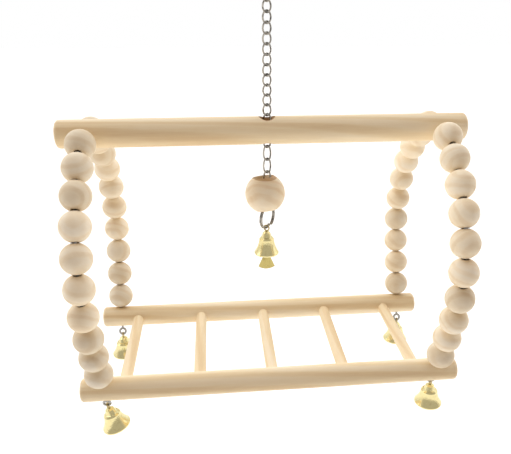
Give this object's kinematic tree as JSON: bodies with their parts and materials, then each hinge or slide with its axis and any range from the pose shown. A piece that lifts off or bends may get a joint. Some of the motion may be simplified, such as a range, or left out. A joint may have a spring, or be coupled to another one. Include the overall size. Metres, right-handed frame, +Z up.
{
  "type": "hanging bird play gym",
  "caption": "Chain-hung wooden bird gym: a top perch, beaded wire side arches, a ladder floor, corner bells and a centre drop of chain, wooden ball, ring and bell.",
  "frame": {"origin": "the seat inside the top bow of the quick link, where a cage bar or hook carries the toy", "axes": "+Z up against gravity, +X along the perch and rails to the picture's right, +Y from the front to the rear"},
  "size_m": [0.284, 0.1672, 0.3355],
  "materials": {
    "zinc_plated_steel": "bright zinc plating",
    "nickel_chain": "bright nickel plating",
    "nickel_ring": "bright nickel plating",
    "wire_steel": "plain drawn wire",
    "loop_wire": "dull brass wire",
    "bell_brass": "polished pale brass plating",
    "clapper_brass": "stamped dull brass",
    "dowel_wood": "plain sanded hardwood dowel",
    "bead_wood": "plain sanded wooden beads",
    "ball_wood": "plain sanded wooden ball"
  },
  "bodies": {
    "hanger": {"quick_link": "zinc_plated_steel"},
    "sleeve": {"quick_link_sleeve": "zinc_plated_steel"},
    "link_01": {"chain_link_01": "nickel_chain"},
    "link_02": {"chain_link_02": "nickel_chain"},
    "link_03": {"chain_link_03": "nickel_chain"},
    "link_04": {"chain_link_04": "nickel_chain"},
    "link_05": {"chain_link_05": "nickel_chain"},
    "link_06": {"chain_link_06": "nickel_chain"},
    "link_07": {"chain_link_07": "nickel_chain"},
    "link_08": {"chain_link_08": "nickel_chain"},
    "link_09": {"chain_link_09": "nickel_chain"},
    "link_10": {"chain_link_10": "nickel_chain"},
    "link_11": {"chain_link_11": "nickel_chain"},
    "link_12": {"chain_link_12": "nickel_chain"},
    "link_13": {"chain_link_13": "nickel_chain"},
    "link_14": {"chain_link_14": "nickel_chain"},
    "gym": {"top_perch": "dowel_wood", "cross_pin": "wire_steel", "left_arch_wire": "wire_steel", "right_arch_wire": "wire_steel", "front_left_beads": "bead_wood", "front_right_beads": "bead_wood", "rear_left_beads": "bead_wood", "rear_right_beads": "bead_wood", "front_rail": "dowel_wood", "rear_rail": "dowel_wood", "rung_1": "dowel_wood", "rung_2": "dowel_wood", "rung_3": "dowel_wood", "rung_4": "dowel_wood", "rung_5": "dowel_wood"},
    "drop_01": {"drop_link_01": "nickel_chain"},
    "drop_02": {"drop_link_02": "nickel_chain"},
    "drop_03": {"drop_link_03": "nickel_chain"},
    "drop_04": {"drop_link_04": "nickel_chain"},
    "drop_05": {"drop_link_05": "nickel_chain"},
    "drop_06": {"drop_link_06": "nickel_chain"},
    "ball": {"wooden_ball": "ball_wood"},
    "ring": {"split_ring": "nickel_ring"},
    "centre_bell": {"centre_bell": "bell_brass", "centre_bell_loop": "loop_wire"},
    "centre_clapper": {"centre_bell_clapper": "clapper_brass"},
    "front_left_bell": {"front_left_bell": "bell_brass", "front_left_bell_loop": "loop_wire"},
    "front_left_clapper": {"front_left_bell_clapper": "clapper_brass"},
    "front_right_bell": {"front_right_bell": "bell_brass", "front_right_bell_loop": "loop_wire"},
    "front_right_clapper": {"front_right_bell_clapper": "clapper_brass"},
    "rear_left_bell": {"rear_left_bell": "bell_brass", "rear_left_bell_loop": "loop_wire"},
    "rear_left_clapper": {"rear_left_bell_clapper": "clapper_brass"},
    "rear_right_bell": {"rear_right_bell": "bell_brass", "rear_right_bell_loop": "loop_wire"},
    "rear_right_clapper": {"rear_right_bell_clapper": "clapper_brass"}
  },
  "joints": [
    {"name": "sleeve_slide", "type": "slide", "parent": "hanger", "child": "sleeve", "axis": [0, 0, 1], "range_m": [0, 0.007]},
    {"name": "chain_swing_01", "type": "hinge", "parent": "hanger", "child": "link_01", "pos_m": [0, 0, -0.0295], "axis": [0.5736, -0.8192, 0], "range_deg": [-12, 12]},
    {"name": "chain_swing_02", "type": "hinge", "parent": "link_01", "child": "link_02", "pos_m": [0, 0, -0.03454], "axis": [0, 1, 0], "range_deg": [-12, 12]},
    {"name": "chain_swing_03", "type": "hinge", "parent": "link_02", "child": "link_03", "pos_m": [0, 0, -0.04114], "axis": [1, 0, 0], "range_deg": [-12, 12]},
    {"name": "chain_swing_04", "type": "hinge", "parent": "link_03", "child": "link_04", "pos_m": [0, 0, -0.04774], "axis": [0, 1, 0], "range_deg": [-12, 12]},
    {"name": "chain_swing_05", "type": "hinge", "parent": "link_04", "child": "link_05", "pos_m": [0, 0, -0.05434], "axis": [1, 0, 0], "range_deg": [-12, 12]},
    {"name": "chain_swing_06", "type": "hinge", "parent": "link_05", "child": "link_06", "pos_m": [0, 0, -0.06094], "axis": [0, 1, 0], "range_deg": [-12, 12]},
    {"name": "chain_swing_07", "type": "hinge", "parent": "link_06", "child": "link_07", "pos_m": [0, 0, -0.06754], "axis": [1, 0, 0], "range_deg": [-12, 12]},
    {"name": "chain_swing_08", "type": "hinge", "parent": "link_07", "child": "link_08", "pos_m": [0, 0, -0.07414], "axis": [0, 1, 0], "range_deg": [-12, 12]},
    {"name": "chain_swing_09", "type": "hinge", "parent": "link_08", "child": "link_09", "pos_m": [0, 0, -0.08074], "axis": [1, 0, 0], "range_deg": [-12, 12]},
    {"name": "chain_swing_10", "type": "hinge", "parent": "link_09", "child": "link_10", "pos_m": [0, 0, -0.08734], "axis": [0, 1, 0], "range_deg": [-12, 12]},
    {"name": "chain_swing_11", "type": "hinge", "parent": "link_10", "child": "link_11", "pos_m": [0, 0, -0.09394], "axis": [1, 0, 0], "range_deg": [-12, 12]},
    {"name": "chain_swing_12", "type": "hinge", "parent": "link_11", "child": "link_12", "pos_m": [0, 0, -0.10054], "axis": [0, 1, 0], "range_deg": [-12, 12]},
    {"name": "chain_swing_13", "type": "hinge", "parent": "link_12", "child": "link_13", "pos_m": [0, 0, -0.10714], "axis": [1, 0, 0], "range_deg": [-6, 6]},
    {"name": "chain_swing_14", "type": "hinge", "parent": "link_13", "child": "link_14", "pos_m": [0, 0, -0.11374], "axis": [0, 1, 0], "range_deg": [-6, 6]},
    {"name": "perch_rock", "type": "hinge", "parent": "link_14", "child": "gym", "pos_m": [0, 0, -0.11798], "axis": [0, 1, 0], "range_deg": [-8, 8]},
    {"name": "drop_swing_01", "type": "hinge", "parent": "link_14", "child": "drop_01", "pos_m": [0, 0, -0.12034], "axis": [0, 1, 0], "range_deg": [-6, 6]},
    {"name": "drop_swing_02", "type": "hinge", "parent": "drop_01", "child": "drop_02", "pos_m": [0, 0, -0.12954], "axis": [1, 0, 0], "range_deg": [-8, 8]},
    {"name": "drop_swing_03", "type": "hinge", "parent": "drop_02", "child": "drop_03", "pos_m": [0, 0, -0.13874], "axis": [0, 1, 0], "range_deg": [-8, 8]},
    {"name": "drop_swing_04", "type": "hinge", "parent": "drop_03", "child": "drop_04", "pos_m": [0, 0, -0.14794], "axis": [1, 0, 0], "range_deg": [-5, 5]},
    {"name": "drop_swing_05", "type": "hinge", "parent": "drop_04", "child": "drop_05", "pos_m": [0, 0, -0.15714], "axis": [0, 1, 0], "range_deg": [-5, 5]},
    {"name": "drop_swing_06", "type": "hinge", "parent": "drop_05", "child": "drop_06", "pos_m": [0, 0, -0.16634], "axis": [1, 0, 0], "range_deg": [-5, 5]},
    {"name": "ball_tilt", "type": "hinge", "parent": "drop_06", "child": "ball", "pos_m": [0, 0, -0.17666], "axis": [0.829, 0.5592, 0], "range_deg": [0, 22]},
    {"name": "ring_turn", "type": "hinge", "parent": "drop_06", "child": "ring", "pos_m": [0, 0, -0.18231], "axis": [-0.8192, 0.5736, 0], "range_deg": [-25, 25]},
    {"name": "centre_bell_swing", "type": "hinge", "parent": "ring", "child": "centre_bell", "pos_m": [-0.00044, 0.00031, -0.19096], "axis": [0.5736, 0.8192, 0], "range_deg": [-20, 20]},
    {"name": "centre_clapper_swing", "type": "hinge", "parent": "centre_bell", "child": "centre_clapper", "pos_m": [-0.00044, 0.00031, -0.19845], "axis": [0, 1, 0], "range_deg": [-15, 15]},
    {"name": "front_left_bell_swing", "type": "hinge", "parent": "gym", "child": "front_left_bell", "pos_m": [-0.123, -0.04369, -0.31067], "axis": [1, 0, 0], "range_deg": [-20, 20]},
    {"name": "front_left_clapper_swing", "type": "hinge", "parent": "front_left_bell", "child": "front_left_clapper", "pos_m": [-0.12129, -0.04369, -0.31754], "axis": [0, 1, 0], "range_deg": [-12, 12]},
    {"name": "front_right_bell_swing", "type": "hinge", "parent": "gym", "child": "front_right_bell", "pos_m": [0.123, -0.04531, -0.30595], "axis": [1, 0, 0], "range_deg": [-20, 20]},
    {"name": "front_right_clapper_swing", "type": "hinge", "parent": "front_right_bell", "child": "front_right_clapper", "pos_m": [0.123, -0.04531, -0.31303], "axis": [0, 1, 0], "range_deg": [-12, 12]},
    {"name": "rear_left_bell_swing", "type": "hinge", "parent": "gym", "child": "rear_left_bell", "pos_m": [-0.123, 0.04531, -0.30595], "axis": [1, 0, 0], "range_deg": [-20, 20]},
    {"name": "rear_left_clapper_swing", "type": "hinge", "parent": "rear_left_bell", "child": "rear_left_clapper", "pos_m": [-0.123, 0.04531, -0.31303], "axis": [0, 1, 0], "range_deg": [-12, 12]},
    {"name": "rear_right_bell_swing", "type": "hinge", "parent": "gym", "child": "rear_right_bell", "pos_m": [0.123, 0.04531, -0.30595], "axis": [1, 0, 0], "range_deg": [-20, 20]},
    {"name": "rear_right_clapper_swing", "type": "hinge", "parent": "rear_right_bell", "child": "rear_right_clapper", "pos_m": [0.123, 0.04531, -0.31303], "axis": [0, 1, 0], "range_deg": [-12, 12]}
  ]
}
